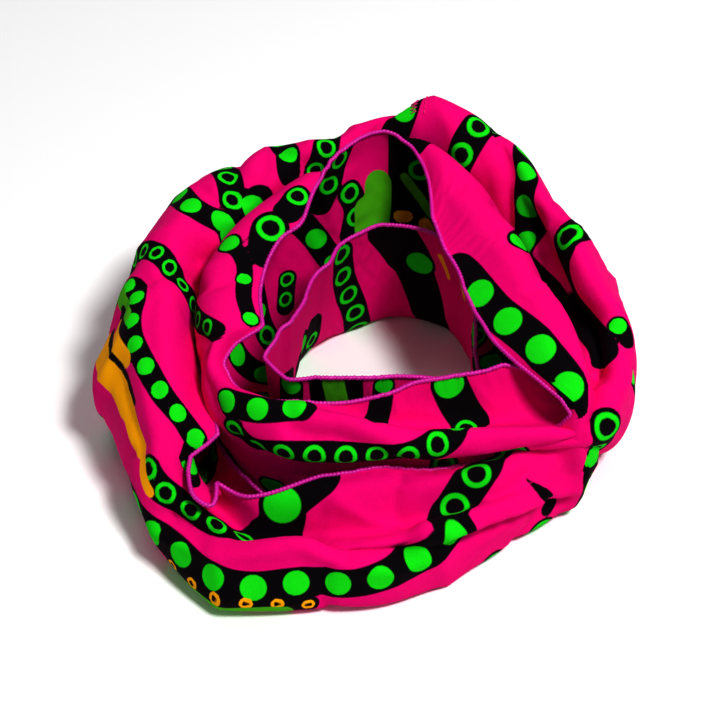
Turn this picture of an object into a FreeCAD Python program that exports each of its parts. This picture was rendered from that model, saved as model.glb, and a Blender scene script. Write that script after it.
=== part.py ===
import FreeCAD, Part
import math
import os

# Printed cotton loop scarf, worn doubled as a neck gaiter.
# One hemmed band of cloth, sewn end to end, goes twice round the neck opening.
# Frame: +Z up, +X to the right, -Y is the front. The origin is in the middle of the base.
# The cloth itself is a plain soft solid here: a tall flattened strand wound two turns,
# which crosses itself once, low under high, on the right-hand side.

SIZES = {
    # the ring that each turn follows, at the middle of the strand
    "inner_centre_x": 10.5,
    "inner_centre_y": 5.0,
    "inner_reach_x": 84.0,
    "inner_reach_y": 74.0,
    "outer_centre_x": 7.5,
    "outer_centre_y": 2.5,
    "outer_reach_x": 139.0,
    "outer_reach_y": 132.0,
    # heights of the strand's crest: the outer turn stands higher at the back than at the front
    "inner_crest": 82.0,
    "outer_crest_mean": 92.0,
    "outer_crest_swing": 27.0,
    # half the thickness of the strand: both turns are thicker at the front than at the back
    "inner_half_width": 13.0,
    "inner_width_swing": 3.0,
    "outer_half_width": 23.0,
    "outer_width_swing": 3.0,
    "crossing_half_width": 18.0,
    # where the two turns pass over each other
    "under_crest": 40.0,
    "over_floor": 50.0,
    "over_crest": 92.0,
    # how far the strand sinks below the base plane before it is cut flat
    "base_sink": 4.0,
    "base_cutter": 420.0,
    # threads
    "hem_thread_half": 2.0,
    "seam_thread_half": 0.6,
    "thread_gap": 0.5,
    "seam_allowance": 8.0,
}

STATIONS_PER_TURN = 16
TURNS = 2
CROSSING_AZIMUTH = -20.0      # degrees from +X, anticlockwise seen from above
CROSSING_SPREAD = 58.0        # degrees that the change of turn takes, each side
OUTLINE_POLES = 12            # points round the strand's oval outline
THREAD_POLES = 6              # points round a thread's outline
UPPER_HEM_ANGLE = 90.0        # place of each hem round the strand, from straight out
LOWER_HEM_ANGLE = -18.0
SEAM_AZIMUTH = 80.0           # the join lies at the back, on the outside of the outer turn
SEAM_SPAN = 62.0              # degrees of the strand's outline that the join covers, each way

doc = FreeCAD.newDocument("loop_scarf")
sheet = doc.addObject("Spreadsheet::Sheet", "Sizes")
sheet.Label = "sizes"
for row, (alias, value) in enumerate(SIZES.items(), start=1):
    sheet.set(f"A{row}", alias)
    sheet.set(f"B{row}", str(value))
    sheet.setAlias(f"B{row}", alias)
doc.recompute()


def size(alias):
    """A driving dimension, read back from the sheet."""
    return float(sheet.get(alias))


def cell(alias):
    """How an expression names one of the driving dimensions."""
    return f"<<sizes>>.{alias}"


def smooth(x):
    """0 below 0, 1 above 1, and an even S between them."""
    x = min(max(x, 0.0), 1.0)
    return x * x * (3.0 - 2.0 * x)


def mix(a, b, share):
    return a + (b - a) * share


def fullness(poles):
    """A smooth outline runs inside its poles; this puts the poles out by as much."""
    return 3.0 / (2.0 + math.cos(2.0 * math.pi / poles))


def outer_share(travel):
    """0 on the inner turn and 1 on the outer turn, for degrees travelled from the crossing."""
    leaving = smooth(travel / (2.0 * CROSSING_SPREAD) + 0.5)
    joining = smooth((travel - 360.0) / (2.0 * CROSSING_SPREAD) + 0.5)
    leaving_again = smooth((travel - 720.0) / (2.0 * CROSSING_SPREAD) + 0.5)
    return 1.0 - leaving + joining - leaving_again


def squeeze(travel, centre):
    """1 at the crossing, falling to 0 where the turns lie side by side."""
    return smooth(1.4 - 1.4 * abs(travel - centre) / CROSSING_SPREAD)


class Station:
    """The strand's middle, outward direction, half height and half width at one place."""

    def __init__(self, travel, swell=1.0):
        self.azimuth = CROSSING_AZIMUTH + travel
        across = math.cos(math.radians(self.azimuth))
        along = math.sin(math.radians(self.azimuth))
        self.outward = FreeCAD.Vector(across, along, 0.0)
        share = outer_share(travel)
        under = max(squeeze(travel, 0.0), squeeze(travel, 720.0))
        over = squeeze(travel, 360.0)

        inner_x = size("inner_centre_x") + size("inner_reach_x") * across * swell
        inner_y = size("inner_centre_y") + size("inner_reach_y") * along * swell
        outer_x = size("outer_centre_x") + size("outer_reach_x") * across * swell
        outer_y = size("outer_centre_y") + size("outer_reach_y") * along * swell
        outer_crest = size("outer_crest_mean") + size("outer_crest_swing") * along

        crest = mix(size("inner_crest"), outer_crest, share)
        crest = mix(crest, size("under_crest"), under)
        crest = mix(crest, size("over_crest"), over)
        floor = mix(-size("base_sink"), size("over_floor"), over)
        inner_width = size("inner_half_width") - size("inner_width_swing") * along
        outer_width = size("outer_half_width") - size("outer_width_swing") * along
        width = mix(inner_width, outer_width, share)

        self.half_width = mix(width, size("crossing_half_width"), max(under, over))
        self.half_height = (crest - floor) / 2.0
        middle_x = mix(inner_x, outer_x, share)
        middle_y = mix(inner_y, outer_y, share)
        self.middle = FreeCAD.Vector(middle_x, middle_y, (crest + floor) / 2.0)

    def on_outline(self, degrees, beyond=0.0):
        """A point of the oval outline, or one a little beyond it."""
        out = (self.half_width + beyond) * math.cos(math.radians(degrees))
        up = (self.half_height + beyond) * math.sin(math.radians(degrees))
        return self.middle + self.outward * out + FreeCAD.Vector(0.0, 0.0, up)


count = STATIONS_PER_TURN * TURNS
spread = fullness(STATIONS_PER_TURN)
stations = [Station(index * 360.0 / STATIONS_PER_TURN, spread) for index in range(count)]


def closed_tube(rings):
    """A smooth solid that closes both along its run and round its outline."""
    surface = Part.BSplineSurface()
    along, around = len(rings), len(rings[0])
    along_knots = list(range(along + 1))
    around_knots = list(range(around + 1))
    surface.buildFromPolesMultsKnots(
        rings, [1] * len(along_knots), [1] * len(around_knots),
        along_knots, around_knots, True, True, 3, 3)
    solid = Part.Solid(Part.Shell([surface.toShape()]))
    if solid.Volume < 0.0:
        solid.reverse()
    return solid


def computed(name, shape):
    item = doc.addObject("Part::Feature", name)
    item.Label = name
    item.Shape = shape
    item.Placement = FreeCAD.Placement()
    return item


def make_panel():
    """The cloth: an oval strand wound two turns and cut flat where it rests."""
    swell = fullness(OUTLINE_POLES)
    angles = [360.0 * j / OUTLINE_POLES for j in range(OUTLINE_POLES)]
    rings = []
    for spot in stations:
        outline = [spot.on_outline(angle) for angle in angles]
        rings.append([spot.middle + (point - spot.middle) * swell for point in outline])
    strand = computed("strand", closed_tube(rings))

    below = doc.addObject("Part::Box", "below_base")
    below.setExpression("Length", cell("base_cutter"))
    below.setExpression("Width", cell("base_cutter"))
    below.setExpression("Height", f"{cell('base_sink')} * 4")
    below.setExpression("Placement.Base.x", f"0 - {cell('base_cutter')} / 2")
    below.setExpression("Placement.Base.y", f"0 - {cell('base_cutter')} / 2")
    below.setExpression("Placement.Base.z", f"0 - {cell('base_sink')} * 4")

    panel = doc.addObject("Part::Cut", "panel")
    panel.Base = strand
    panel.Tool = below
    panel.Label = "printed_panel"
    return panel


def make_hem(label, degrees):
    """The thread that binds one long edge, just clear of the cloth that it is sewn to."""
    half = size("hem_thread_half")
    swell = fullness(THREAD_POLES)
    rings = []
    for spot in stations:
        middle = spot.on_outline(degrees, half + size("thread_gap"))
        ring = []
        for j in range(THREAD_POLES):
            turn = 2.0 * math.pi * j / THREAD_POLES
            out = spot.outward * (half * swell * math.cos(turn))
            up = FreeCAD.Vector(0.0, 0.0, half * swell * math.sin(turn))
            ring.append(middle + out + up)
        rings.append(ring)
    return computed(label, closed_tube(rings))


def make_seam(label, shift):
    """A row of stitching across the band, round the outside of the outer turn at the back."""
    spot = Station(SEAM_AZIMUTH - CROSSING_AZIMUTH + 360.0)
    beyond = size("seam_thread_half") + size("thread_gap") * 2.0
    up = FreeCAD.Vector(0.0, 0.0, 1.0)
    upright = FreeCAD.Rotation(up, spot.outward, up.cross(spot.outward), "XYZ")
    sideways = up.cross(spot.outward) * shift

    path = doc.addObject("Part::Ellipse", f"{label}_path")
    path.MajorRadius = spot.half_height + beyond
    path.MinorRadius = spot.half_width + beyond
    path.Angle1 = 90.0 - SEAM_SPAN
    path.Angle2 = 90.0 + SEAM_SPAN
    path.Placement = FreeCAD.Placement(spot.middle + sideways, upright)
    doc.recompute()

    edge = path.Shape.Edges[0]
    start = edge.valueAt(edge.FirstParameter)
    heading = FreeCAD.Rotation(up, edge.tangentAt(edge.FirstParameter))
    bead = doc.addObject("Part::Circle", f"{label}_bead")
    bead.setExpression("Radius", cell("seam_thread_half"))
    bead.Placement = FreeCAD.Placement(start, heading)

    seam = doc.addObject("Part::Sweep", label)
    seam.Sections = [bead]
    seam.Spine = (path, ["Edge1"])
    seam.Solid = True
    seam.Frenet = True
    seam.Label = label
    return seam


nodes = [
    make_panel(),
    make_hem("upper_hem_thread", UPPER_HEM_ANGLE),
    make_hem("lower_hem_thread", LOWER_HEM_ANGLE),
    make_seam("join_seam_stitches", 0.0),
    make_seam("join_seam_overlock_thread", size("seam_allowance")),
]
doc.recompute()

for item in doc.Objects:
    if "Invalid" in item.State or "Error" in item.State:
        raise SystemExit(f"{item.Label} failed: {item.State}")

os.makedirs("parts", exist_ok=True)
for node in nodes:
    shape = node.Shape
    if shape.isNull() or not shape.isValid():
        raise SystemExit(f"{node.Label} has no valid shape")
    box = shape.BoundBox
    low = [round(value, 1) for value in (box.XMin, box.YMin, box.ZMin)]
    high = [round(value, 1) for value in (box.XMax, box.YMax, box.ZMax)]
    print(node.Label, len(shape.Solids), "solid", round(shape.Volume / 1000.0, 2), "cm3", low, high)
    shape.exportStep(f"parts/{node.Label}.step")
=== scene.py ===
import math

import bpy
import numpy as np
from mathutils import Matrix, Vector


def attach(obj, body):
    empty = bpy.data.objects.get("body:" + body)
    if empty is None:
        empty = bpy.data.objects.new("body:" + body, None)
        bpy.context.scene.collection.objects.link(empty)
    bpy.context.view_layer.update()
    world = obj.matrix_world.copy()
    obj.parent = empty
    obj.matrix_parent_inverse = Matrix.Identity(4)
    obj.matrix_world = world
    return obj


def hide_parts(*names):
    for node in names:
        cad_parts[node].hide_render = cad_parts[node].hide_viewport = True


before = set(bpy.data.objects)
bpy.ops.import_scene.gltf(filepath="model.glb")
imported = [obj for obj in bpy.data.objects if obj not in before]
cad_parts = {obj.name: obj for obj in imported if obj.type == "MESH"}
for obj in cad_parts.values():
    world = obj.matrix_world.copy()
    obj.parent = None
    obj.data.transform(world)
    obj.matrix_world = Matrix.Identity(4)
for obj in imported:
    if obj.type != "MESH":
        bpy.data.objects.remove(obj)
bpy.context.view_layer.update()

# A printed cotton loop scarf, doubled into a ring as a neck gaiter.
# One band of cloth goes round the neck opening twice. Everything is built in millimetres
# in cylindrical coordinates about the neck's axis, then scaled to metres.

MM = 0.001

# ---------------------------------------------------------------- the cloth's shape
# The band is described by cross-sections. Each row is an angle of travel round the loop in
# degrees, 720 for the two turns, and ten (distance from the axis, height) points in mm that
# go across the band from its first hem to its second. They were typed with guides, one of
# which was a helper script that gave the angle and distance of points in the photograph.
NECK_CENTRE = (10.0, 8.0)
LAP = 720.0
INNER_TURN = [
    # the leaf: its first hem leans in over the neck opening
    (332, [(63, 91), (84, 98), (116, 97), (130, 80), (136, 54),
           (132, 26), (118, 5), (92, 3), (70, 24), (62, 52)]),
    (340, [(54, 92), (78, 101), (105, 101), (118, 84), (124, 58),
           (118, 30), (104, 5), (76, 3), (58, 30), (56, 62)]),
    (360, [(45, 95), (62, 104), (82, 108), (92, 96), (96, 70),
           (92, 35), (84, 4), (62, 3), (52, 40), (53, 74)]),
    (390, [(43, 99), (60, 108), (78, 112), (88, 100), (92, 72),
           (88, 36), (80, 4), (64, 3), (58, 42), (60, 78)]),
    (418, [(55, 104), (73, 112), (89, 116), (99, 106), (103, 76),
           (99, 38), (89, 4), (72, 3), (65, 44), (64, 84)]),
    # the back: an open trough between the two hems
    (435, [(92, 112), (99, 117), (106, 118), (110, 108), (108, 80),
           (100, 42), (88, 6), (72, 3), (66, 42), (63, 86)]),
    (442, [(106, 115), (109, 117), (111, 115), (111, 104), (107, 76),
           (99, 40), (87, 6), (71, 3), (65, 42), (63, 86)]),
    (450, [(113, 118), (113, 104), (110, 84), (105, 60), (98, 36),
           (90, 14), (80, 3), (69, 3), (64, 42), (63, 86)]),
    (465, [(100, 116), (101, 102), (98, 82), (93, 58), (88, 36),
           (82, 14), (75, 3), (63, 3), (58, 42), (57, 86)]),
    (480, [(81, 111), (89, 113), (97, 107), (101, 90), (99, 64),
           (92, 32), (82, 4), (62, 3), (54, 42), (52, 86)]),
    # the left strip, rolled inwards
    (501, [(65, 105), (78, 110), (92, 107), (101, 94), (102, 66),
           (96, 34), (85, 4), (62, 3), (50, 42), (43, 86)]),
    (512, [(69, 102), (82, 107), (95, 104), (103, 92), (104, 66),
           (98, 34), (86, 4), (62, 3), (50, 42), (44, 86)]),
    (540, [(72, 92), (86, 97), (99, 97), (108, 88), (110, 62),
           (104, 30), (90, 4), (64, 3), (50, 40), (46, 85)]),
    (561, [(75, 88), (87, 93), (100, 94), (109, 86), (112, 60),
           (106, 30), (93, 4), (72, 3), (60, 40), (58, 85)]),
    # the curl
    (564.5, [(94, 84), (99, 90), (106, 91), (112, 83), (114, 60),
             (107, 30), (94, 4), (76, 3), (66, 40), (65, 85)]),
    (570, [(104, 80), (108, 85), (113, 86), (118, 78), (117, 58),
           (110, 32), (98, 5), (80, 3), (72, 40), (72, 85)]),
    (577, [(105, 76), (108, 82), (112, 83), (119, 76), (121, 60),
           (116, 40), (104, 8), (88, 3), (82, 40), (84, 84)]),
    # the front roll
    (588, [(100, 77), (103, 83), (108, 84), (116, 76), (121, 62),
           (117, 46), (108, 10), (90, 3), (83, 42), (84, 82)]),
    (599, [(93, 80), (98, 84), (104, 83), (113, 76), (118, 62),
           (114, 48), (104, 12), (84, 3), (74, 42), (73, 82)]),
    (615, [(82, 80), (88, 75), (95, 80), (104, 74), (109, 62),
           (103, 50), (96, 14), (78, 3), (68, 42), (65, 82)]),
    (630, [(73, 80), (82, 66), (93, 76), (101, 72), (105, 62),
           (99, 50), (92, 14), (76, 3), (66, 42), (62, 82)]),
    (645, [(68, 82), (82, 60), (96, 71), (103, 68), (106, 60),
           (101, 50), (92, 16), (76, 3), (64, 42), (60, 78)]),
    (660, [(71, 82), (88, 56), (106, 70), (113, 68), (116, 62),
           (110, 53), (98, 20), (80, 4), (66, 40), (62, 72)]),
    (675, [(81, 83), (104, 60), (131, 73), (138, 71), (139, 64),
           (131, 56), (112, 26), (90, 6), (74, 34), (66, 64)]),
]
OUTER_TURN = [
    # the pinch, where the front roll goes out over the other strand
    (680, [(85, 84), (110, 62), (139, 73), (145, 71), (147, 64),
           (141, 56), (122, 34), (100, 20), (84, 34), (78, 56)]),
    (688, [(103, 78), (119, 68), (137, 75), (146, 72), (150, 63),
           (149, 50), (143, 37), (128, 28), (112, 26), (104, 32)]),
    (700, [(111, 68), (117, 78), (126, 86), (137, 86), (147, 75),
           (152, 53), (149, 26), (136, 4), (112, 3), (104, 24)]),
    # the right lobe
    (718, [(97, 62), (101, 80), (109, 95), (121, 101), (134, 90),
           (144, 58), (143, 22), (130, 2), (104, 2), (98, 34)]),
    (735, [(96, 66), (99, 84), (106, 99), (115, 104), (126, 93),
           (137, 60), (138, 22), (126, 2), (102, 2), (96, 36)]),
    (752, [(97, 70), (100, 87), (106, 101), (114, 107), (125, 98),
           (136, 62), (138, 22), (126, 2), (102, 2), (96, 36)]),
    # the back lobe
    (776, [(106, 78), (110, 97), (117, 112), (128, 119), (142, 104),
           (149, 64), (147, 24), (132, 2), (110, 2), (106, 38)]),
    (796, [(114, 86), (117, 105), (123, 119), (134, 126), (149, 110),
           (155, 68), (151, 24), (136, 2), (112, 2), (108, 40)]),
    (810, [(116, 86), (118, 102), (121, 114), (127, 119), (139, 105),
           (148, 66), (146, 24), (132, 2), (110, 2), (104, 40)]),
    (825, [(104, 84), (105, 98), (108, 108), (114, 113), (127, 103),
           (142, 66), (142, 24), (128, 2), (106, 2), (98, 38)]),
    (842, [(102, 80), (104, 92), (109, 103), (121, 110), (138, 100),
           (152, 64), (150, 24), (134, 2), (108, 2), (100, 38)]),
    # the left lobe
    (870, [(106, 72), (109, 86), (117, 99), (131, 105), (150, 91),
           (160, 58), (158, 22), (140, 2), (110, 2), (102, 36)]),
    (900, [(109, 58), (112, 74), (119, 88), (131, 95), (150, 82),
           (163, 54), (162, 20), (144, 2), (114, 2), (106, 34)]),
    (908, [(110, 57), (113, 73), (120, 87), (132, 93), (152, 79),
           (168, 52), (170, 28), (152, 2), (117, 2), (109, 34)]),
    (920, [(113, 56), (116, 70), (123, 82), (135, 88), (154, 74),
           (166, 46), (165, 18), (146, 2), (118, 2), (110, 34)]),
    (935, [(118, 60), (127, 64), (136, 70), (147, 71), (162, 58),
           (173, 36), (169, 14), (150, 2), (124, 2), (116, 30)]),
    # the lower roll and the panel above it
    (948, [(128, 55), (135, 46), (147, 33), (159, 43), (173, 32),
           (181, 18), (175, 4), (152, 2), (126, 2), (118, 26)]),
    (960, [(134, 46), (141, 33), (149, 26), (160, 39), (174, 29),
           (186, 14), (180, 3), (156, 2), (130, 2), (120, 22)]),
    (975, [(110, 50), (123, 47), (136, 30), (149, 41), (161, 30),
           (171, 14), (168, 3), (146, 2), (122, 2), (110, 24)]),
    (990, [(100, 50), (115, 50), (131, 33), (144, 40), (154, 29),
           (160, 14), (158, 3), (140, 2), (118, 2), (106, 26)]),
    (1005, [(102, 46), (116, 52), (127, 39), (136, 42), (143, 31),
            (146, 16), (144, 3), (130, 2), (112, 2), (104, 24)]),
    (1020, [(104, 44), (121, 56), (130, 46), (137, 46), (141, 32),
            (140, 16), (138, 4), (126, 2), (112, 2), (104, 20)]),
    (1035, [(112, 46), (122, 57), (131, 55), (137, 47), (141, 34),
            (141, 18), (137, 5), (124, 2), (108, 2), (100, 14)]),
    # the leaf's tip
    (1039, [(133, 79), (135, 82), (138, 80), (142, 66), (145, 46),
            (146, 26), (141, 6), (122, 3), (98, 4), (88, 16)]),
    (1042, [(92, 88), (114, 91), (133, 87), (141, 70), (144, 48),
            (144, 28), (138, 7), (114, 3), (90, 8), (78, 28)]),
    (1046, [(73, 90), (96, 95), (127, 93), (137, 74), (141, 50),
            (141, 28), (134, 7), (108, 3), (82, 14), (70, 36)]),
]
# The first hem's curl, where it comes out from under the front roll. The hem swings towards
# the front and dips, and lies further left, less and less, until the curl ends. These values
# were set one by one.
CURL_TRAVEL = 946.0      # degrees of travel at the middle of the swing
CURL_WIDTH = 5.0         # degrees that the swing takes, each side
CURL_FRONT, CURL_DIP = 32.0, 7.0    # how far the hem goes to the front and down there, in mm
CURL_LEFT = 17.0         # how far left it lies, in mm
CURL_NOTCH = 7.0         # how much less just past the middle of the swing, for the way back
CURL_START, CURL_END = 939.0, 980.0    # degrees of travel over which the hem lies left
CURL_DEPTH = 0.075       # share of the width over which the cloth follows the hem
START = INNER_TURN[0][0]
COLUMNS = 720            # steps of travel round the loop
ROWS = 81                # points across the band
FLOOR_CLEARANCE = 0.6
SEAM_TRAVEL = 800.0      # where the band's two ends are sewn together
FLAT_WIDTH, FLAT_LENGTH = 270.0, 1500.0


def slopes(x, y):
    """Shape-keeping slopes for a cubic through y at x: flat at every peak, so nothing overshoots."""
    step = np.diff(x).reshape((-1,) + (1,) * (y.ndim - 1))
    rise = np.diff(y, axis=0) / step
    slope = np.zeros_like(y)
    before, after = step[:-1], step[1:]
    left, right = rise[:-1], rise[1:]
    near, far = 2 * after + before, after + 2 * before
    same = left * right > 0
    safe_left = np.where(same, left, 1.0)
    safe_right = np.where(same, right, 1.0)
    slope[1:-1] = np.where(same, (near + far) / (near / safe_left + far / safe_right), 0.0)
    return slope


def cubic(x, y, at):
    """Values at `at` of the shape-keeping cubic through y at x."""
    slope = slopes(x, y)
    k = np.clip(np.searchsorted(x, at) - 1, 0, len(x) - 2)
    width = x[k + 1] - x[k]
    f = (at - x[k]) / width
    tail = (1,) * (y.ndim - 1)
    f = f.reshape((-1,) + tail)
    width = width.reshape((-1,) + tail)
    a = 2 * f**3 - 3 * f**2 + 1
    b = f**3 - 2 * f**2 + f
    c = -2 * f**3 + 3 * f**2
    d = f**3 - f**2
    return a * y[k] + b * width * slope[k] + c * y[k + 1] + d * width * slope[k + 1]


def rounded_line(points, count):
    """A smooth line through a few points, as `count` evenly spaced points."""
    points = np.asarray(points, float)
    gaps = np.sqrt(np.linalg.norm(np.diff(points, axis=0), axis=1)) + 1e-6
    knots = np.concatenate([[0.0], np.cumsum(gaps)])
    n = len(points)
    system = np.zeros((n, n))
    right = np.zeros_like(points)
    system[0, 0] = system[-1, -1] = 1.0
    for i in range(1, n - 1):
        system[i, i - 1] = gaps[i - 1]
        system[i, i] = 2 * (gaps[i - 1] + gaps[i])
        system[i, i + 1] = gaps[i]
        right[i] = 6 * ((points[i + 1] - points[i]) / gaps[i] - (points[i] - points[i - 1]) / gaps[i - 1])
    bend = np.linalg.solve(system, right)
    at = np.linspace(0, knots[-1], 8 * count)
    k = np.clip(np.searchsorted(knots, at) - 1, 0, n - 2)
    w = gaps[k][:, None]
    a = ((knots[k + 1] - at)[:, None]) / w
    b = 1.0 - a
    fine = a * points[k] + b * points[k + 1] + ((a**3 - a) * bend[k] + (b**3 - b) * bend[k + 1]) * w**2 / 6
    return even(fine, count)


def even(line, count):
    """The same line with evenly spaced points."""
    length = np.concatenate([[0.0], np.cumsum(np.linalg.norm(np.diff(line, axis=0), axis=1))])
    at = np.linspace(0, length[-1], count)
    return np.stack([np.interp(at, length, line[:, axis]) for axis in range(line.shape[1])], -1)


def hem_curl(travel):
    """How far the first hem moves in x, y and z, in mm, to make its curl."""
    away = (travel - CURL_TRAVEL) / CURL_WIDTH
    swing = 1 / (1 + away**4)
    rise = np.clip((travel - CURL_START) / (CURL_WIDTH / 2), 0, 1)
    fall = np.clip((CURL_END - travel) / (CURL_END - CURL_TRAVEL), 0, 1)
    left = CURL_LEFT * np.sin(rise * math.pi / 2) ** 2 * np.sin(fall * math.pi / 2)
    left = left - CURL_NOTCH * np.exp(-((1.5 * away - 1) ** 2))
    return np.stack([-left, -CURL_FRONT * swing, -CURL_DIP * swing], -1)


def cloth_grid():
    """Points of the band: one row of the array per step of travel, from hem to hem, in mm."""
    rows = INNER_TURN + OUTER_TURN
    angle = np.array([row[0] for row in rows], float)
    table = np.array([row[1] for row in rows], float)
    angle = np.concatenate([angle - LAP, angle, angle + LAP])
    table = np.concatenate([table] * 3)
    travel = START + LAP * np.arange(COLUMNS) / COLUMNS
    sections = cubic(angle, table, travel)
    grid = np.array([rounded_line(section, ROWS) for section in sections])
    turn = np.radians(travel)[:, None]
    x = NECK_CENTRE[0] + grid[..., 0] * np.cos(turn)
    y = NECK_CENTRE[1] + grid[..., 0] * np.sin(turn)
    points = np.stack([x, y, grid[..., 1]], -1)
    moved = hem_curl(travel)
    follow = np.exp(-((np.linspace(0, 1, ROWS) / CURL_DEPTH) ** 1.5))
    points += moved[:, None, :] * follow[None, :, None]
    points[..., 2] = np.maximum(points[..., 2], FLOOR_CLEARANCE)
    return travel, points


def grid_normals(grid):
    along = np.roll(grid, -1, 0) - np.roll(grid, 1, 0)
    across = np.gradient(grid, axis=1)
    normal = np.cross(across, along)
    return normal / np.maximum(np.linalg.norm(normal, axis=2, keepdims=True), 1e-9)


def mesh_object(name, points, faces, material):
    mesh = bpy.data.meshes.new(name)
    mesh.from_pydata([tuple(p) for p in points], [], faces)
    if material:
        mesh.materials.append(material)
    for polygon in mesh.polygons:
        polygon.use_smooth = True
    mesh.update()
    piece = bpy.data.objects.new(name, mesh)
    bpy.context.scene.collection.objects.link(piece)
    return piece


def grid_faces(columns, rows, around=False):
    """Quads of a grid whose columns close into a loop; its rows close too if asked."""
    faces = []
    for i in range(columns):
        j = (i + 1) % columns
        for k in range(rows if around else rows - 1):
            m = (k + 1) % rows
            faces.append((i * rows + k, i * rows + m, j * rows + m, j * rows + k))
    return faces


# ---------------------------------------------------------------- wrinkles
# The shape above is cloth pulled smooth. A short cloth simulation, run ten times life size,
# gives the cloth a little more length than its shape needs, so that it buckles.
SIM_STEP = 2             # every second column and row of the grid
SIM_SCALE = 0.01
SIM_FRAMES = 26
SIM_STIFFNESS, SIM_SHEAR, SIM_BENDING = 25, 12, 0.6
SIM_PIN = 0.18           # how stiffly a fully held vertex stays in place
SIM_GRAVITY = 0.1        # share of real weight
SLACK_LEAST = 0.25       # slack where no place below gives more
GROWTH_LEAST, GROWTH_MOST = 0.012, 0.14    # extra length with no slack and with full slack
HEM_SHARE, HEM_GRIP = 0.03, 0.9            # how wide the held hems are, and how firmly
# How firmly the rest is held: with no slack, how much full slack takes off, and at least.
GRIP_TIGHT, GRIP_LOSS, GRIP_LEAST = 0.75, 0.5, 0.2
SLACK_PLACES = [
    # travel, share, reach in degrees, reach in share, how much slack
    (672, 0.2, 22, 0.3, 1.0),
    (690, 0.3, 18, 0.4, 1.0),
    (1030, 0.3, 28, 0.35, 1.0),
    (905, 0.3, 25, 0.3, 0.7),
    (945, 0.25, 22, 0.3, 0.9),
    (815, 0.25, 22, 0.3, 0.8),
    (770, 0.2, 25, 0.3, 0.7),
    (575, 0.1, 16, 0.25, 0.8),
    (490, 0.3, 30, 0.4, 0.6),
]


def slack(travel, share):
    """How loosely the cloth lies at each vertex, from 0 to 1."""
    amount = np.full((len(travel), len(share)), SLACK_LEAST)
    for t, v, wide, tall, much in SLACK_PLACES:
        dt = (travel[:, None] - t + LAP / 2) % LAP - LAP / 2
        near = np.exp(-((dt / wide) ** 2 + ((share[None, :] - v) / tall) ** 2))
        amount = np.maximum(amount, much * near)
    return amount


def wrinkle(grid, travel):
    """The grid after the cloth simulation has buckled it."""
    columns = np.arange(0, COLUMNS, SIM_STEP)
    rows = np.arange(0, ROWS, SIM_STEP)
    share = rows / (ROWS - 1)
    start = grid[columns][:, rows]
    faces = grid_faces(len(columns), len(rows))
    dummy = mesh_object("dummy", start.reshape(-1, 3) * SIM_SCALE, faces, None)
    hold = dummy.vertex_groups.new(name="hold")
    loose = dummy.vertex_groups.new(name="loose")
    give = slack(travel[columns], share)
    edge = np.minimum(share, 1 - share)
    grip = np.clip(GRIP_TIGHT - GRIP_LOSS * give, GRIP_LEAST, HEM_GRIP)
    grip = np.where(edge[None, :] < HEM_SHARE, HEM_GRIP, grip)
    for index, (g, w) in enumerate(zip(grip.reshape(-1), give.reshape(-1))):
        hold.add([index], float(g), "REPLACE")
        loose.add([index], float(w), "REPLACE")
    cloth = dummy.modifiers.new("cloth", "CLOTH")
    setting = cloth.settings
    setting.quality = 8
    setting.mass = 0.15
    setting.tension_stiffness = SIM_STIFFNESS
    setting.compression_stiffness = SIM_STIFFNESS
    setting.shear_stiffness = SIM_SHEAR
    setting.bending_stiffness = SIM_BENDING
    setting.air_damping = 2.0
    setting.vertex_group_mass = "hold"
    setting.pin_stiffness = SIM_PIN
    setting.vertex_group_shrink = "loose"
    setting.shrink_min = -GROWTH_LEAST
    setting.shrink_max = -GROWTH_MOST
    setting.effector_weights.gravity = SIM_GRAVITY
    cloth.point_cache.frame_start = 1
    cloth.point_cache.frame_end = SIM_FRAMES
    scene = bpy.context.scene
    for frame_number in range(1, SIM_FRAMES + 1):
        scene.frame_set(frame_number)
    graph = bpy.context.evaluated_depsgraph_get()
    settled = np.empty(len(dummy.data.vertices) * 3)
    dummy.evaluated_get(graph).data.vertices.foreach_get("co", settled)
    settled = settled.reshape(start.shape) / SIM_SCALE
    mesh = dummy.data
    bpy.data.objects.remove(dummy)
    bpy.data.meshes.remove(mesh)
    scene.frame_set(1)
    moved = settled - start
    moved = np.concatenate([moved, moved[:1]])
    at = np.concatenate([columns, [COLUMNS]]).astype(float)
    moved = cubic(at, moved, np.arange(COLUMNS).astype(float))
    moved = cubic(rows.astype(float), moved.transpose(1, 0, 2), np.arange(ROWS).astype(float))
    moved = moved.transpose(1, 0, 2)
    grid = grid + moved
    grid[..., 2] = np.maximum(grid[..., 2], FLOOR_CLEARANCE)
    return grid


# ---------------------------------------------------------------- the print, and one band of painted shade
# Each band is a kind, its size beside the largest bands, and the (degrees of travel, share of
# the width) places that its middle passes, starting at one of its marks. More marks follow
# along the band at the kind's pitch. Many places began as points read off the
# photograph. A helper script turned them into travel and share, and they were then rounded and some moved
# by eye.
DOT_PITCH, RING_PITCH, BEAD_PITCH = 27.5, 20.0, 24.0
KINDS = {
    # kind: (field that it paints, half width, pitch of its marks) in mm
    "dots": ("band", 10.8, DOT_PITCH),
    "rings": ("band", 9.8, RING_PITCH),
    "beads": ("band", 9.0, BEAD_PITCH),
    "black": ("band", 11.0, 0.0),
    "wide": ("band", 15.0, 0.0),
    "spike": ("band", 2.6, 0.0),
    "line": ("over", 2.5, 0.0),
    "sash": ("orange", 9.5, 0.0),
    "bar": ("orange", 1.8, 0.0),
    "stripe": ("orange", 4.6, 0.0),
    "petal": ("orange", 4.2, 0.0),
    "blade": ("olive", 3.0, 0.0),
    "patch": ("olive", 9.0, 0.0),
}
MARKS = {"dots": "dot", "rings": "ring", "beads": "bead"}
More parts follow.
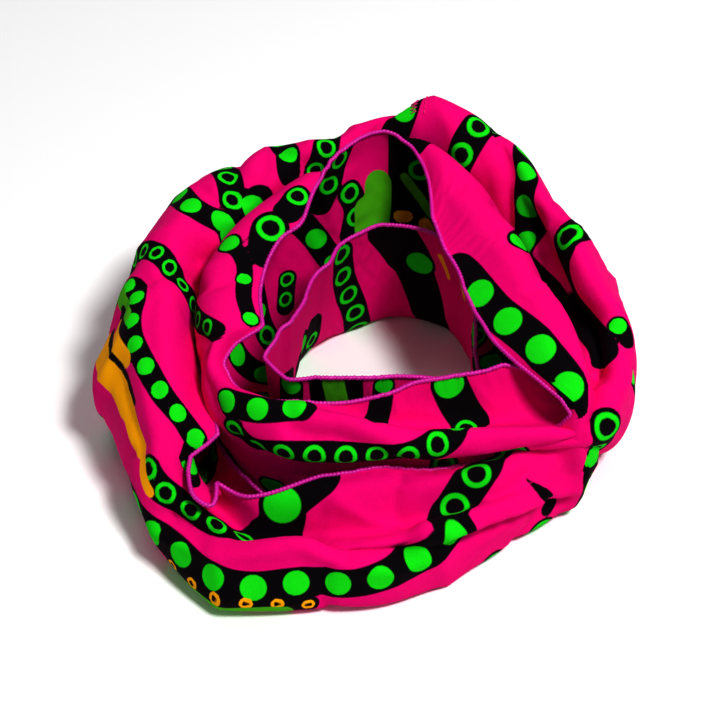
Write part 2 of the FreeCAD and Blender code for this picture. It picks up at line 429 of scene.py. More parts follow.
BANDS = [
    # right lobe
    ("black", 0.75, [(735, 0.18), (727, 0.13), (716, 0.12), (706, 0.13), (699, 0.16)]),
    # painted shade: this thin black band darkens the crease between the leaf and the right lobe as if it
    # lay in shadow; it is not print
    ("black", 0.35, [(752, 0.03), (742, 0.03), (730, 0.05), (718, 0.07), (706, 0.09), (698, 0.11)]),
    ("dots", 0.5, [(706, 0.22), (704, 0.25)]),
    ("dots", 0.55, [(701, 0.33), (703, 0.55), (704, 0.95)]),
    ("rings", 1.0, [(684, 0.42), (683, 0.7)]),
    ("dots", 0.9, [(724, 0.38), (722, 0.6), (722, 0.95)]),
    ("rings", 0.9, [(735, 0.19), (740, 0.26), (742, 0.5), (742, 0.95)]),
    ("rings", 0.7, [(735, 0.19), (731, 0.17)]),
    ("rings", 0.9, [(758, 0.36), (759, 0.6), (759, 0.95)]),
    # back lobe
    ("dots", 0.85, [(764, 0.2), (769, 0.25), (775, 0.4), (776, 0.95)]),
    ("dots", 0.85, [(764, 0.2), (758, 0.11), (750, 0.0)]),
    ("rings", 0.95, [(783, 0.19), (781, 0.3), (790, 0.6), (791, 0.95)]),
    ("rings", 1.0, [(783, 0.19), (786, 0.06)]),
    ("dots", 0.82, [(804, 0.17), (801, 0.3), (806, 0.6), (806, 0.95)]),
    ("dots", 0.82, [(804, 0.17), (810, 0.02)]),
    ("rings", 0.78, [(833, 0.08), (827, 0.16), (822, 0.4), (822, 0.95)]),
    ("rings", 0.78, [(833, 0.08), (838, 0.0)]),
    # left lobe
    ("dots", 0.68, [(840, 0.15), (838, 0.3), (837, 0.6), (838, 0.95)]),
    ("black", 0.68, [(840, 0.15), (843, 0.1)]),
    ("rings", 0.88, [(862, 0.12), (857, 0.2), (854, 0.3), (853, 0.5), (853, 0.95)]),
    ("dots", 0.76, [(870, 0.105), (873, 0.18), (868, 0.27), (868, 0.5), (869, 0.95)]),
    ("dots", 0.85, [(870, 0.06), (862, 0.07), (854, 0.08)]),
    ("rings", 0.68, [(893, 0.18), (888, 0.25), (884, 0.45), (883, 0.95)]),
    ("rings", 0.68, [(893, 0.18), (899, 0.05)]),
    ("dots", 0.62, [(922, 0.24), (912, 0.27), (899, 0.27), (895, 0.4), (894, 0.95)]),
    ("dots", 0.62, [(922, 0.24), (930, 0.18), (936, 0.12), (943, 0.04)]),
    ("sash", 0.9, [(904, 0.43), (914, 0.39), (924, 0.355)]),
    ("sash", 0.65, [(924, 0.35), (933, 0.335)]),
    ("stripe", 0.7, [(933, 0.335), (941, 0.335)]),
    ("sash", 0.55, [(904, 0.355), (911, 0.33), (917, 0.305)]),
    ("line", 0.9, [(902, 0.4), (909, 0.37), (915, 0.345), (920, 0.325), (926, 0.305)]),
    ("line", 1.1, [(901, 0.33), (906, 0.31), (911, 0.285)]),
    ("black", 0.45, [(903, 0.34), (910, 0.31), (917, 0.285)]),
    ("patch", 0.6, [(895, 0.34), (900, 0.32), (906, 0.29)]),
    ("rings", 1.0, [(912, 0.6), (916, 0.95)]),
    # lower roll
    ("rings", 0.85, [(938, 0.3), (947, 0.29), (954, 0.27), (959, 0.2), (962, 0.15)]),
    ("dots", 1.2, [(967, 0.05), (966, 0.11), (963, 0.18)]),
    ("black", 1.1, [(968, 0.04), (974, 0.0)]),
    ("dots", 0.83, [(959, 0.42), (972, 0.445), (984, 0.46), (995, 0.42), (1006, 0.35)]),
    ("dots", 0.83, [(959, 0.42), (946, 0.43), (934, 0.5), (930, 0.7), (930, 0.95)]),
    ("beads", 0.7, [(950, 0.49), (957, 0.485), (963, 0.48), (970, 0.505), (976, 0.54)]),
    ("patch", 0.6, [(948, 0.545), (956, 0.535), (966, 0.535), (972, 0.56)]),
    ("rings", 1.1, [(1023, 0.05), (1016, 0.13), (1009, 0.21), (1003, 0.29)]),
    ("black", 1.2, [(1023, 0.05), (1025, 0.0)]),
    ("spike", 0.35, [(1026, 0.27), (1026.7, 0.3)]),
    ("spike", 0.6, [(1026.7, 0.3), (1027.5, 0.34)]),
    ("spike", 0.9, [(1027.5, 0.34), (1028.5, 0.375)]),
    ("spike", 1.25, [(1028.5, 0.375), (1029.5, 0.41)]),
    ("dots", 0.8, [(1042, 0.42), (1042, 0.55), (1041, 0.75), (1040, 0.95)]),
    ("black", 0.35, [(1033, 0.51), (1031, 0.55)]),
    # left strip
    ("dots", 0.74, [(523, 0.105), (524, 0.095)]),
    ("black", 0.45, [(524, 0.1), (531, 0.05), (545, 0.04), (559, 0.03)]),
    ("dots", 0.5, [(537, 0.042), (538, 0.042)]),
    ("dots", 0.55, [(558, 0.03), (559, 0.03)]),
    ("rings", 0.68, [(536, 0.3), (543, 0.21), (552, 0.17), (562, 0.12)]),
    # between the turns at the back
    ("rings", 1.15, [(511, 0.035), (522, 0.01)]),
    ("rings", 0.9, [(491, 0.04), (501, 0.045)]),
    # the open trough
    ("rings", 0.9, [(470, 0.1), (475, 0.18)]),
    ("rings", 0.9, [(470, 0.1), (464, 0.0)]),
    ("rings", 0.9, [(462, 0.16), (460, 0.22), (462, 0.3)]),
    ("dots", 0.8, [(476, 0.29), (470, 0.37)]),
    ("black", 0.8, [(484, 0.23), (476, 0.29)]),
    ("rings", 0.7, [(490, 0.42), (493, 0.5)]),
    ("wide", 1.0, [(441, 0.04), (440, 0.34)]),
    ("rings", 1.0, [(438, 0.16), (438, 0.2)]),
    ("patch", 1.0, [(452, 0.17), (452, 0.24), (453, 0.34)]),
    ("patch", 0.8, [(457, 0.23), (457, 0.36)]),
    ("blade", 1.0, [(443, 0.15), (438, 0.24), (433, 0.32)]),
    ("petal", 1.0, [(444, 0.27), (441, 0.29)]),
    ("petal", 1.0, [(435, 0.34), (433, 0.37)]),
    # the inner wall
    ("rings", 0.95, [(479, 0.96), (477, 0.86), (469, 0.72), (464, 0.58)]),
    ("wide", 1.0, [(446, 0.98), (436, 0.89)]),
    ("wide", 0.85, [(436, 0.89), (428, 0.8), (422, 0.7)]),
    ("dots", 1.0, [(430, 0.88), (429, 0.87)]),
    ("blade", 1.0, [(463, 0.6), (455, 0.6)]),
    ("bar", 1.0, [(418, 0.94), (411, 0.89)]),
    ("bar", 1.0, [(401, 0.93), (395, 0.89)]),
    ("dots", 0.95, [(354, 0.95), (340, 0.93)]),
    # the second hem, seen past the front roll
    ("dots", 0.7, [(590, 0.97), (588, 0.76)]),
    ("black", 0.5, [(599, 0.99), (600, 0.84)]),
    ("patch", 0.7, [(605, 0.98), (608, 0.86)]),
    ("black", 0.6, [(613, 0.98), (614, 0.84)]),
    ("dots", 0.6, [(629, 0.97), (628, 0.8)]),
    # the leaf
    ("dots", 1.0, [(350, 0.03), (334, 0.07), (327, 0.14), (322, 0.17), (321, 0.15)]),
    ("black", 0.7, [(321.5, 0.15), (320.5, 0.09)]),
    ("black", 1.0, [(374, 0.0), (350, 0.03)]),
    ("dots", 0.8, [(376, 0.17), (383, 0.25), (388, 0.5)]),
    # the front roll
    ("dots", 0.74, [(581, 0.1), (589, 0.09), (597, 0.055), (603, 0.04)]),
    ("rings", 0.85, [(586, 0.18), (592, 0.21), (607, 0.18), (626, 0.24), (648, 0.25), (660, 0.16)]),
    ("dots", 1.0, [(659, 0.02), (663, 0.14)]),
    ("black", 0.62, [(628, 0.0), (625, 0.12)]),
]
# The photograph shows little or nothing of these parts of the cloth, so their bands are a
# guess: dots and rings in turn, at about the same spacing.
HIDDEN_SIZE = 0.85
HIDDEN_LEAN = 3          # degrees of travel that each of these bands gains across the width
HIDDEN = [
    # first travel, last travel, step, share where each band starts, share where it ends
    (345, 420, 18, 0.36, 0.66),
    (505, 680, 18, 0.4, 0.8),
    (672, 700, 14, 0.7, 0.95),
    (955, 1040, 15, 0.66, 0.95),
]
FAR = 60.0               # distances are worked out up to this, in mm
NEAR_TRAVEL, NEAR_SHARE = 2, 0.03    # how far each way the cloth's slope is measured
BAND_SCALE = np.array([2.5, 230.0])  # rough mm in a degree of travel and in the whole width
BAND_POINTS = 60
PRINT_REACH, PRINT_SPAN = 16, 0.1    # degrees and share of the width that one place can colour
STEP_LEAST, STEP_MOST = 0.8, 3.0     # mm between the places that a band is drawn from


def surface(grid, place):
    """Points of the cloth at (degrees of travel, share of the width) places."""
    place = np.asarray(place, float).reshape(-1, 2)
    column = (place[:, 0] - START) / LAP * COLUMNS
    row = np.clip(place[:, 1], 0, 1) * (ROWS - 1)
    low_column = np.floor(column).astype(int)
    low_row = np.clip(np.floor(row).astype(int), 0, ROWS - 2)
    a = (column - low_column)[:, None]
    b = (row - low_row)[:, None]
    i, j = low_column % COLUMNS, (low_column + 1) % COLUMNS
    near = (1 - b) * grid[i, low_row] + b * grid[i, low_row + 1]
    far = (1 - b) * grid[j, low_row] + b * grid[j, low_row + 1]
    return (1 - a) * near + a * far


def closest(grid, places, field):
    """Lowers field to each vertex's distance, along the cloth, from the nearest place."""
    share = np.linspace(0, 1, ROWS)
    for t, v in places:
        ahead = surface(grid, (t + NEAR_TRAVEL, v)) - surface(grid, (t - NEAR_TRAVEL, v))
        ahead = ahead[0] / (2 * NEAR_TRAVEL)
        low, high = max(v - NEAR_SHARE, 0), min(v + NEAR_SHARE, 1)
        over = (surface(grid, (t, high)) - surface(grid, (t, low)))[0] / (high - low)
        reach = int(FAR / max(np.linalg.norm(ahead), 1.0) * COLUMNS / LAP) + 2
        middle = int(round((t - START) / LAP * COLUMNS))
        columns = np.arange(middle - reach, middle + reach + 1)
        dt = (columns * LAP / COLUMNS + START - t)[:, None]
        dv = (share - v)[None, :]
        square = (ahead @ ahead) * dt**2 + 2 * (ahead @ over) * dt * dv + (over @ over) * dv**2
        columns = columns % COLUMNS
        field[columns] = np.minimum(field[columns], np.sqrt(np.maximum(square, 0)))


def nearest(grid, places, field):
    """Lowers field to each vertex's straight distance from the nearest place, close by."""
    for t, v in places:
        middle = int(round((t - START) / LAP * COLUMNS))
        columns = np.arange(middle - PRINT_REACH, middle + PRINT_REACH + 1) % COLUMNS
        first = max(int((v - PRINT_SPAN) * (ROWS - 1)), 0)
        rows = slice(first, int((v + PRINT_SPAN) * (ROWS - 1)) + 2)
        away = np.linalg.norm(grid[columns, rows] - surface(grid, (t, v)), axis=-1)
        field[columns, rows] = np.minimum(field[columns, rows], away)


def along_band(grid, places, pitch):
    """Places at even steps along a band's middle line."""
    points = np.asarray(places, float) * BAND_SCALE
    trace = rounded_line if len(places) > 2 else even
    line = trace(points, BAND_POINTS) / BAND_SCALE
    solid = surface(grid, line)
    length = np.concatenate([[0.0], np.cumsum(np.linalg.norm(np.diff(solid, axis=0), axis=1))])
    at = np.arange(0.0, length[-1] + 1e-6, pitch)
    return np.stack([np.interp(at, length, line[:, axis]) for axis in range(2)], -1)


def print_fields(grid):
    """Distances in mm, at every vertex, from the print's bands and marks, and from one black band of
    painted shade.
    """
    names = ("band", "dot", "ring", "bead", "orange", "olive", "over")
    fields = {name: np.full((COLUMNS, ROWS), FAR) for name in names}
    bands = list(BANDS)
    for number, (first, last, step, start, end) in enumerate(HIDDEN):
        for turn, t in enumerate(np.arange(first, last, step)):
            kind = "rings" if (turn + number) % 2 else "dots"
            bands.append((kind, HIDDEN_SIZE, [(t, start), (t + HIDDEN_LEAN, end)]))
    for kind, size, places in bands:
        ground, half, pitch = KINDS[kind]
        edge = np.full((COLUMNS, ROWS), FAR)
        step = min(max(half * size / 2, STEP_LEAST), STEP_MOST)
        nearest(grid, along_band(grid, places, step), edge)
        fields[ground] = np.minimum(fields[ground], edge - half * size)
        if kind in MARKS:
            marks = np.full((COLUMNS, ROWS), FAR)
            nearest(grid, along_band(grid, places, pitch * size), marks)
            fields[MARKS[kind]] = np.minimum(fields[MARKS[kind]], marks / size)
    return fields


# ---------------------------------------------------------------- folds
# Crisp folds that the cross-sections are too few to hold: how far each stands out of the
# cloth in mm, how wide it is, and the (degrees of travel, share of the width) it runs through.
# The places of many were found in the same way as those of the print.
FOLD_STEP = 3.0          # mm between the places that a fold is made from
FOLD_SHARPNESS = 1.25    # 2 would be a round hump, 1 a sharp crease
FOLDS = [
    # lower roll, tucked behind the panel above it
    (-6.5, 5, [(946, 0.35), (955, 0.31), (963, 0.22), (970, 0.2), (982, 0.33), (993, 0.37)]),
    (4.5, 6, [(945, 0.42), (956, 0.37), (968, 0.31), (979, 0.38), (990, 0.43), (999, 0.41)]),
    # pulls that gather at the pinch
    (5.5, 6, [(998, 0.34), (1009, 0.36), (1023, 0.41), (1036, 0.45)]),
    (-7.0, 5, [(993, 0.37), (999, 0.39), (1009, 0.405), (1023, 0.455), (1036, 0.5)]),
    (-2.0, 7, [(1003, 0.29), (1014, 0.28), (1028, 0.31), (1038, 0.34)]),
    (2.5, 6, [(978, 0.11), (993, 0.26), (1003, 0.33)]),
    (-2.5, 7, [(994, 0.07), (992, 0.17), (996, 0.28)]),
    (2.5, 6, [(1026, 0.19), (1018, 0.26), (1008, 0.31)]),
    # left strip
    (-2.5, 6, [(539, 0.17), (541, 0.1), (533, 0.04)]),
    (2.5, 6, [(533, 0.14), (529, 0.08), (523, 0.04)]),
    (-3.0, 6, [(558, 0.18), (570, 0.1), (579, 0.14)]),
    # left and back lobes
    (6.0, 7, [(833, 0.14), (846, 0.11), (858, 0.09), (868, 0.09)]),
    (-5.5, 6, [(849, 0.26), (857, 0.17), (862, 0.11)]),
    (3.0, 7, [(843, 0.22), (852, 0.14)]),
    (-4.5, 5, [(866, 0.2), (867, 0.15), (866, 0.1)]),
    (-3.5, 5, [(847, 0.17), (853, 0.12), (860, 0.1)]),
    (-3.0, 5, [(884, 0.1), (880, 0.06), (872, 0.04)]),
    (4.0, 9, [(797, 0.21), (790, 0.14), (782, 0.08)]),
    (-3.0, 9, [(774, 0.2), (764, 0.14), (752, 0.1)]),
    (-3.0, 8, [(806, 0.2), (811, 0.12)]),
    (-2.5, 10, [(905, 0.21), (922, 0.22), (935, 0.18), (943, 0.16)]),
    (2.5, 9, [(897, 0.32), (902, 0.28), (920, 0.26), (932, 0.24), (940, 0.26)]),
    (-2.5, 9, [(903, 0.37), (918, 0.35), (932, 0.32)]),
    (2.0, 7, [(906, 0.47), (914, 0.47)]),
    # right lobe
    (5.0, 8, [(712, 0.21), (708, 0.25), (703, 0.26), (693, 0.28), (686, 0.45)]),
    (-14.0, 8, [(753, 0.1), (734, 0.09), (718, 0.1), (704, 0.12), (695, 0.13)]),
    (5.0, 6, [(738, 0.21), (723, 0.2), (710, 0.21), (703, 0.19)]),
    # leaf
    (-4.0, 9, [(376, 0.25), (360, 0.27), (342, 0.31), (332, 0.33)]),
    (2.0, 9, [(427, 0.07), (398, 0.09), (359, 0.12), (334, 0.17)]),
    (-1.5, 9, [(413, 0.14), (380, 0.17), (350, 0.19)]),
    # front roll
    (4.0, 6, [(602, 0.05), (615, 0.09), (626, 0.17), (638, 0.24), (655, 0.27), (674, 0.3)]),
    (-4.0, 6, [(602, 0.11), (615, 0.145), (626, 0.225), (638, 0.3)]),
    (-6.0, 6, [(588, 0.22), (613, 0.29), (641, 0.35), (661, 0.38), (670, 0.345), (678, 0.36)]),
    (2.0, 7, [(635, 0.06), (655, 0.12), (672, 0.2)]),
    # more pulls that fan out from the pinch, and slack at the lobes' tops
    (3.0, 6, [(706, 0.06), (700, 0.16), (690, 0.26)]),
    (-3.0, 6, [(716, 0.08), (708, 0.18), (697, 0.32)]),
    (2.5, 7, [(746, 0.06), (738, 0.18), (733, 0.34)]),
    (-3.0, 7, [(762, 0.02), (768, 0.12), (780, 0.24)]),
    (3.0, 7, [(812, 0.04), (818, 0.16), (820, 0.32)]),
    (-3.5, 6, [(824, 0.05), (836, 0.1), (842, 0.2)]),
    (2.5, 7, [(872, 0.03), (880, 0.14), (884, 0.32)]),
    (-2.5, 8, [(886, 0.04), (893, 0.12), (898, 0.24)]),
    (2.0, 6, [(355, 0.2), (338, 0.22), (328, 0.26)]),
    (-2.0, 6, [(400, 0.2), (370, 0.26), (345, 0.28)]),
    (2.0, 6, [(602, 0.16), (618, 0.21), (636, 0.29)]),
    # the join, where the band's two ends are sewn together
    (0.9, 2.5, [(SEAM_TRAVEL, 0.0), (SEAM_TRAVEL, 1.0)]),
]
# Round the outside, mostly below what the photograph shows, ridges and hollows take turns.
OUTSIDE_FIRST, OUTSIDE_LAST, OUTSIDE_STEP = 704, 1050, 23    # degrees of travel
OUTSIDE_RIDGE, OUTSIDE_HOLLOW, OUTSIDE_WIDTH = 3.5, -3.0, 9
OUTSIDE_TOP, OUTSIDE_MIDDLE, OUTSIDE_FOOT = 0.34, 0.48, 0.64    # shares of the width
OUTSIDE_LEAN, OUTSIDE_TURN = 5, 2.4    # how far each bends in degrees, and how that varies
for number, place in enumerate(range(OUTSIDE_FIRST, OUTSIDE_LAST, OUTSIDE_STEP)):
    lift = OUTSIDE_RIDGE if number % 2 else OUTSIDE_HOLLOW
    lean = OUTSIDE_LEAN * math.sin(number * OUTSIDE_TURN)
    line = [(place, OUTSIDE_TOP), (place + lean, OUTSIDE_MIDDLE), (place - lean, OUTSIDE_FOOT)]
    FOLDS.append((lift, OUTSIDE_WIDTH, line))


def fold(grid):
    """The grid with its crisp folds."""
    normal = grid_normals(grid)
    lift = np.zeros((COLUMNS, ROWS))
    for height, width, places in FOLDS:
        away = np.full((COLUMNS, ROWS), FAR)
        closest(grid, along_band(grid, places, FOLD_STEP), away)
        lift += height * np.exp(-((away / width) ** FOLD_SHARPNESS))
    grid = grid + normal * lift[..., None]
    grid[..., 2] = np.maximum(grid[..., 2], FLOOR_CLEARANCE)
    return grid


# ---------------------------------------------------------------- materials
class Nodes:
    """Short calls that add nodes to a material."""

    def __init__(self, name):
        self.material = bpy.data.materials.new(name)
        self.material.use_nodes = True
        self.tree = self.material.node_tree
        self.shader = self.tree.nodes["Principled BSDF"]

    def add(self, kind, inputs=None, **settings):
        node = self.tree.nodes.new(kind)
        for key, value in settings.items():
            setattr(node, key, value)
        for key, value in (inputs or {}).items():
            if isinstance(value, bpy.types.NodeSocket):
                self.tree.links.new(value, node.inputs[key])
            else:
                node.inputs[key].default_value = value
        return node

    def math(self, operation, a, b=0.0):
        return self.add("ShaderNodeMath", {0: a, 1: b}, operation=operation).outputs[0]

    def attribute(self, name):
        return self.add("ShaderNodeAttribute", attribute_name=name).outputs["Fac"]

    def inside(self, distance):
        """1 where distance is below zero, with a soft edge."""
        limits = {0: distance, 1: -PRINT_BLUR, 2: PRINT_BLUR, 3: 1.0, 4: 0.0}
        return self.add("ShaderNodeMapRange", limits).outputs[0]

    def mix(self, share, a, b):
        node = self.add("ShaderNodeMix", data_type="RGBA")
        for socket, value in ((node.inputs[0], share), (node.inputs[6], a), (node.inputs[7], b)):
            if isinstance(value, bpy.types.NodeSocket):
                self.tree.links.new(value, socket)
            else:
                socket.default_value = value
        return node.outputs[2]

    def link(self, out, name):
        self.tree.links.new(out, self.shader.inputs[name])


THREAD_SPACING = 0.45    # mm from thread to thread of the weave
PRINT_BLUR = 0.35        # half the width of a printed edge, in mm
MARK_MARGIN = 0.8        # black that is left between a mark and its band's edge
DOT_RADIUS = 8.6
RING_RADIUS, RING_HALF = 6.0, 1.35
BEAD_RADIUS, BEAD_HALF = 4.2, 1.2
SLUB_STRETCHES = ((0.12, 3.0, 1.0), (3.0, 0.12, 1.0))    # long threads each way
WEAVE_SHADE, SLUB_SHADE, CLOUD_SHADE, BASE_SHADE = 0.04, 0.16, 0.2, 0.76
WEAVE_HEIGHT, CLOUD_HEIGHT = 0.5, 2.0                    # beside the slubs' own height
BUMP_STRENGTH, BUMP_DISTANCE = 0.35, 0.00025
PINK = (0.8, 0.0, 0.215, 1)
BLACK = (0.004, 0.002, 0.004, 1)
GREEN = (0.013, 0.7, 0.015, 1)
ORANGE = (1.0, 0.45, 0.0, 1)
OLIVE = (0.1, 0.46, 0.012, 1)


def printed_cotton():
    n = Nodes("printed_cotton")
    band = n.attribute("band")
    # black for the print's bands, and for one band of painted shade along the right lobe's crease
    colour = n.mix(n.inside(band), PINK, BLACK)
    in_band = n.inside(n.math("ADD", band, MARK_MARGIN))
    dot = n.inside(n.math("SUBTRACT", n.attribute("dot"), DOT_RADIUS))
    ring = n.math("ABSOLUTE", n.math("SUBTRACT", n.attribute("ring"), RING_RADIUS))
    ring = n.inside(n.math("SUBTRACT", ring, RING_HALF))
    bead = n.math("ABSOLUTE", n.math("SUBTRACT", n.attribute("bead"), BEAD_RADIUS))
    bead = n.inside(n.math("SUBTRACT", bead, BEAD_HALF))
    colour = n.mix(n.math("MULTIPLY", n.math("MAXIMUM", dot, ring), in_band), colour, GREEN)
    colour = n.mix(n.math("MULTIPLY", bead, in_band), colour, ORANGE)
    colour = n.mix(n.inside(n.attribute("olive")), colour, OLIVE)
    colour = n.mix(n.inside(n.attribute("orange")), colour, ORANGE)
    colour = n.mix(n.inside(n.attribute("over")), colour, BLACK)
    # plain weave: threads cross over and under, none quite as thick as the next
    flat = n.add("ShaderNodeUVMap", uv_map="cloth_mm").outputs[0]
    split = n.add("ShaderNodeSeparateXYZ", {0: flat})
    along, across = split.outputs[0], split.outputs[1]
    warp = n.math("SINE", n.math("MULTIPLY", along, math.pi / THREAD_SPACING))
    weft = n.math("SINE", n.math("MULTIPLY", across, math.pi / THREAD_SPACING))
    weave = n.math("MULTIPLY", warp, weft)
    slubs = []
    for stretch in SLUB_STRETCHES:
        joined = n.add("ShaderNodeCombineXYZ", {0: along, 1: across}).outputs[0]
        drawn = n.add("ShaderNodeVectorMath", {0: joined, 1: stretch}, operation="MULTIPLY")
        noise = {"Vector": drawn.outputs[0], "Scale": 1.0, "Detail": 2.0}
        slubs.append(n.add("ShaderNodeTexNoise", noise).outputs[0])
    slub = n.math("ADD", slubs[0], slubs[1])
    where = n.add("ShaderNodeTexCoord").outputs["Object"]
    cloudy = n.add("ShaderNodeTexNoise", {"Vector": where, "Scale": 28.0, "Detail": 4.0}).outputs[0]
    height = n.math("ADD", n.math("MULTIPLY", weave, WEAVE_HEIGHT), slub)
    height = n.math("ADD", height, n.math("MULTIPLY", cloudy, CLOUD_HEIGHT))
    slub_tone = n.math("MULTIPLY", slub, SLUB_SHADE)
    shade = n.math("ADD", slub_tone, n.math("MULTIPLY", cloudy, CLOUD_SHADE))
    shade = n.math("ADD", shade, n.math("MULTIPLY", weave, WEAVE_SHADE))
    shade = n.math("ADD", shade, BASE_SHADE)
    tone = n.add("ShaderNodeVectorMath", {0: colour, "Scale": shade}, operation="SCALE").outputs[0]
    n.link(tone, "Base Color")
    rough = n.add("ShaderNodeMapRange", {0: slub, 1: 0.6, 2: 1.4, 3: 0.88, 4: 0.72}).outputs[0]
    n.link(rough, "Roughness")
    bump = {"Strength": BUMP_STRENGTH, "Distance": BUMP_DISTANCE, "Height": height}
    n.link(n.add("ShaderNodeBump", bump).outputs[0], "Normal")
    n.shader.inputs["Specular IOR Level"].default_value = 0.07
    n.shader.inputs["Sheen Weight"].default_value = 0.02
    n.shader.inputs["Sheen Roughness"].default_value = 0.5
    n.shader.inputs["Sheen Tint"].default_value = (1.0, 0.2, 0.5, 1)
    return n.material


def thread_material(name, colour):
    """Twisted polyester thread: a soft shine and slight changes of colour along it."""
    n = Nodes(name)
    where = n.add("ShaderNodeTexCoord").outputs["Object"]
    cloudy = n.add("ShaderNodeTexNoise", {"Vector": where, "Scale": 220.0, "Detail": 3.0}).outputs[0]
    darker = tuple(0.72 * part for part in colour) + (1,)
    lighter = tuple(min(1.12 * part, 1.0) for part in colour) + (1,)
    n.link(n.mix(cloudy, darker, lighter), "Base Color")
    n.shader.inputs["Roughness"].default_value = 0.42
    n.shader.inputs["Sheen Weight"].default_value = 0.1
    n.shader.inputs["Sheen Roughness"].default_value = 0.4
    n.shader.inputs["Sheen Tint"].default_value = (1.0, 0.4, 0.9, 1)
    return n.material


# ---------------------------------------------------------------- pieces
travel, grid = cloth_grid()
fields = print_fields(grid)
grid = fold(grid)
grid = wrinkle(grid, travel)
cotton = printed_cotton()
thread = thread_material("hem_thread", (0.66, 0.008, 0.38))
seam_thread = thread_material("seam_thread", (0.8, 0.01, 0.22))
panel = mesh_object("cloth_panel", grid.reshape(-1, 3) * MM, grid_faces(COLUMNS, ROWS), cotton)
# Where each vertex lies on the flat cloth, in mm along and across it, for the weave.
along_mm = np.arange(COLUMNS + 1) / COLUMNS * FLAT_LENGTH
across_mm = np.linspace(0, FLAT_WIDTH, ROWS)
corner_map = []
for i in range(COLUMNS):
    for k in range(ROWS - 1):
        for column, row in ((i, k), (i, k + 1), (i + 1, k + 1), (i + 1, k)):
            corner_map.append((along_mm[column], across_mm[row]))
cloth_map = panel.data.uv_layers.new(name="cloth_mm")
cloth_map.data.foreach_set("uv", np.array(corner_map).reshape(-1).astype(np.float32))
for field_name, values in fields.items():
    layer = panel.data.attributes.new(field_name, "FLOAT", "POINT")
    layer.data.foreach_set("value", values.reshape(-1).astype(np.float32))
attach(panel, "root")
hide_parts("printed_panel")


HEM_RADIUS = 1.25
STITCH_PITCH = 2.2       # mm of hem that one turn of its thread takes
STITCH_RELIEF = 0.2
STITCH_STEPS = 4         # points in one turn
HEM_SIDES = 10
THREAD_SIDES = 6
# The join, on the band's outer face. Its stitches and overlock thread lie these many degrees
# of travel aside from its middle, and are lifted off the cloth by these many mm.
JOIN_FIRST, JOIN_LAST = 0.16, 0.62    # shares of the width that it covers
JOIN_POINTS = 240
STITCH_ASIDE, STITCH_LIFT, STITCH_RADIUS = -1.5, 0.35, 0.35
STITCH_LENGTH = 3.0                   # in mm
STITCH_POINTS, STITCH_GAP = 400, 2    # points along the whole row, and between stitches
OVERLOCK_NEAR, OVERLOCK_FAR, OVERLOCK_LIFT = 0.6, 2.4, 0.45
OVERLOCK_POINTS, OVERLOCK_RADIUS = 170, 0.3


def frames(line, closed=True):
    """Two directions square to a line, at each of its points."""
    if closed:
        ahead = np.roll(line, -1, 0) - np.roll(line, 1, 0)
    else:
        ahead = np.gradient(line, axis=0)
    ahead /= np.maximum(np.linalg.norm(ahead, axis=1, keepdims=True), 1e-9)
    side = np.cross(ahead, np.tile([0.03, 0.02, 1.0], (len(line), 1)))
    side /= np.maximum(np.linalg.norm(side, axis=1, keepdims=True), 1e-9)
    return side, np.cross(side, ahead)


def thread_piece(name, rings, closed, material, node):
    """A piece made of threads: each is an array of rings of points, in mm."""
    points, faces, first = [], [], 0
    for ring in rings:
        count, sides = ring.shape[:2]
        points.append(ring.reshape(-1, 3))
        for i in range(count if closed else count - 1):
            j = (i + 1) % count
            for k in range(sides):
                m = (k + 1) % sides
                faces.append([first + i * sides + k, first + i * sides + m,
                              first + j * sides + m, first + j * sides + k])
        if not closed:
            faces.append([first + k for k in reversed(range(sides))])
            faces.append([first + (count - 1) * sides + k for k in range(sides)])
        first += count * sides
    piece = mesh_object(name, np.concatenate(points) * MM, faces, material)
    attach(piece, "root")
    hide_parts(node)
    return piece


def hem(name, line, node):
    """The rolled edge, bound with thread that goes round it like a screw."""
    loop = np.concatenate([line, line[:1]])
    length = np.linalg.norm(np.diff(loop, axis=0), axis=1).sum()
    turns = int(length / STITCH_PITCH)
    line = even(loop, STITCH_STEPS * turns + 1)[:-1]
    side, up = frames(line)
    ring = []
    step = np.arange(len(line)) / STITCH_STEPS
    for k in range(HEM_SIDES):
        a = 2 * math.pi * k / HEM_SIDES
        radius = HEM_RADIUS + STITCH_RELIEF * np.cos(2 * math.pi * step - a)
        ring.append(line + radius[:, None] * (side * math.cos(a) + up * math.sin(a)))
    rings = np.stack(ring, 1)
    rings[..., 2] = np.maximum(rings[..., 2], FLOOR_CLEARANCE / 2)
    return thread_piece(name, [rings], True, thread, node)


def thread_tube(line, radius):
    """A thread along a line, narrowed at both ends."""
    side, up = frames(line, closed=False)
    swell = np.full(len(line), radius)
    swell[0] = swell[-1] = radius / 3
    angles = [2 * math.pi * k / THREAD_SIDES for k in range(THREAD_SIDES)]
    ring = [line + swell[:, None] * (side * math.cos(a) + up * math.sin(a)) for a in angles]
    return np.stack(ring, 1)


def seam_line(travel_at, lift):
    """A line across the band on its outer face, lifted off the cloth."""
    share = np.linspace(JOIN_FIRST, JOIN_LAST, JOIN_POINTS)
    places = np.stack([np.full(JOIN_POINTS, travel_at), share], -1)
    return surface(grid, places) + surface(grid_normals(grid), places) * lift


def join_stitches():
    line = even(seam_line(SEAM_TRAVEL + STITCH_ASIDE, STITCH_LIFT), STITCH_POINTS)
    length = np.linalg.norm(np.diff(line, axis=0), axis=1).sum()
    per_stitch = max(int(STITCH_POINTS * STITCH_LENGTH / length), 4)
    rings = []
    for first in range(0, STITCH_POINTS - per_stitch, per_stitch + STITCH_GAP):
        rings.append(thread_tube(line[first:first + per_stitch], STITCH_RADIUS))
    thread_piece("join_stitches", rings, False, seam_thread, "join_seam_stitches")


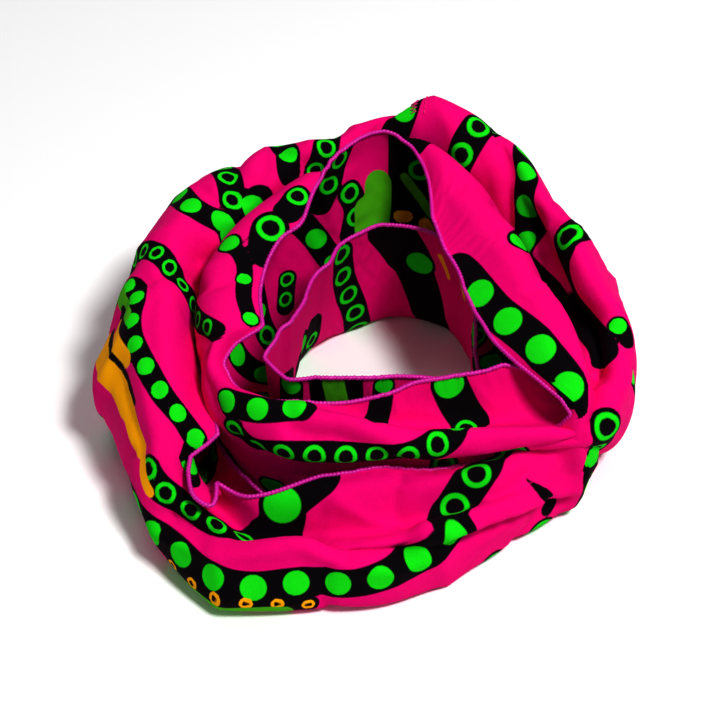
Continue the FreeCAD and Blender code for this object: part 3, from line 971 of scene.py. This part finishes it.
def join_overlock():
    near = even(seam_line(SEAM_TRAVEL + OVERLOCK_NEAR, OVERLOCK_LIFT), OVERLOCK_POINTS)
    far = even(seam_line(SEAM_TRAVEL + OVERLOCK_FAR, OVERLOCK_LIFT), OVERLOCK_POINTS)
    swing = 0.5 + 0.5 * np.cos(np.pi * np.arange(OVERLOCK_POINTS) / 2)
    line = near + (far - near) * swing[:, None]
    tube = thread_tube(line, OVERLOCK_RADIUS)
    thread_piece("join_overlock", [tube], False, seam_thread,
                 "join_seam_overlock_thread")


hem("first_hem", grid[:, 0], "upper_hem_thread")
hem("second_hem", grid[:, -1], "lower_hem_thread")
join_stitches()
join_overlock()


# ---------------------------------------------------------------- studio
FLOOR_HALF = 6.0
WORLD_STRENGTH = 0.17
LAMPS = [
    # name, place, power in watts, width in metres
    ("key", (0.75, -0.6, 1.8), 40, 0.4),
    ("fill", (-0.9, -1.3, 1.2), 2.5, 0.8),
    ("top", (-0.4, 0.9, 1.6), 6, 0.8),
]
LAMP_TARGET = (0, 0, 0.05)
LENS, SENSOR_WIDTH = 85, 36    # both in mm
CAMERA_TARGET = (-0.0045, -0.0034, 0.045)
CAMERA_DISTANCE = 1.006
CAMERA_SLOPE = 45              # degrees above level
VIEW_GAMMA = 0.72


def lamp(name, spot, power, width):
    light = bpy.data.lights.new(name, "AREA")
    light.energy = power
    light.size = width
    holder = bpy.data.objects.new(name, light)
    holder.location = spot
    aim = Vector(LAMP_TARGET) - Vector(spot)
    holder.rotation_euler = aim.to_track_quat("-Z", "Y").to_euler()
    bpy.context.scene.collection.objects.link(holder)


def studio():
    plate = bpy.data.materials.new("pale_floor")
    plate.use_nodes = True
    shader = plate.node_tree.nodes["Principled BSDF"]
    shader.inputs["Base Color"].default_value = (0.97, 0.97, 0.97, 1)
    shader.inputs["Roughness"].default_value = 0.9
    half = FLOOR_HALF
    corners = [(-half, -half, 0), (half, -half, 0), (half, half, 0), (-half, half, 0)]
    mesh = bpy.data.meshes.new("floor")
    mesh.from_pydata(corners, [], [(0, 1, 2, 3)])
    mesh.materials.append(plate)
    floor = bpy.data.objects.new("floor", mesh)
    bpy.context.scene.collection.objects.link(floor)

    world = bpy.data.worlds.new("studio")
    world.use_nodes = True
    world.node_tree.nodes["Background"].inputs["Color"].default_value = (1, 1, 1, 1)
    world.node_tree.nodes["Background"].inputs["Strength"].default_value = WORLD_STRENGTH
    bpy.context.scene.world = world
    for name, spot, power, width in LAMPS:
        lamp(name, spot, power, width)


def camera():
    lens = bpy.data.cameras.new("camera")
    lens.lens = LENS
    lens.sensor_width = SENSOR_WIDTH
    holder = bpy.data.objects.new("camera", lens)
    target = Vector(CAMERA_TARGET)
    slope = math.radians(CAMERA_SLOPE)
    holder.location = target + Vector((0, -math.cos(slope), math.sin(slope))) * CAMERA_DISTANCE
    holder.rotation_euler = (target - holder.location).to_track_quat("-Z", "Y").to_euler()
    bpy.context.scene.collection.objects.link(holder)
    bpy.context.scene.camera = holder


bpy.context.scene.view_settings.view_transform = "Standard"
bpy.context.scene.view_settings.gamma = VIEW_GAMMA
studio()
camera()
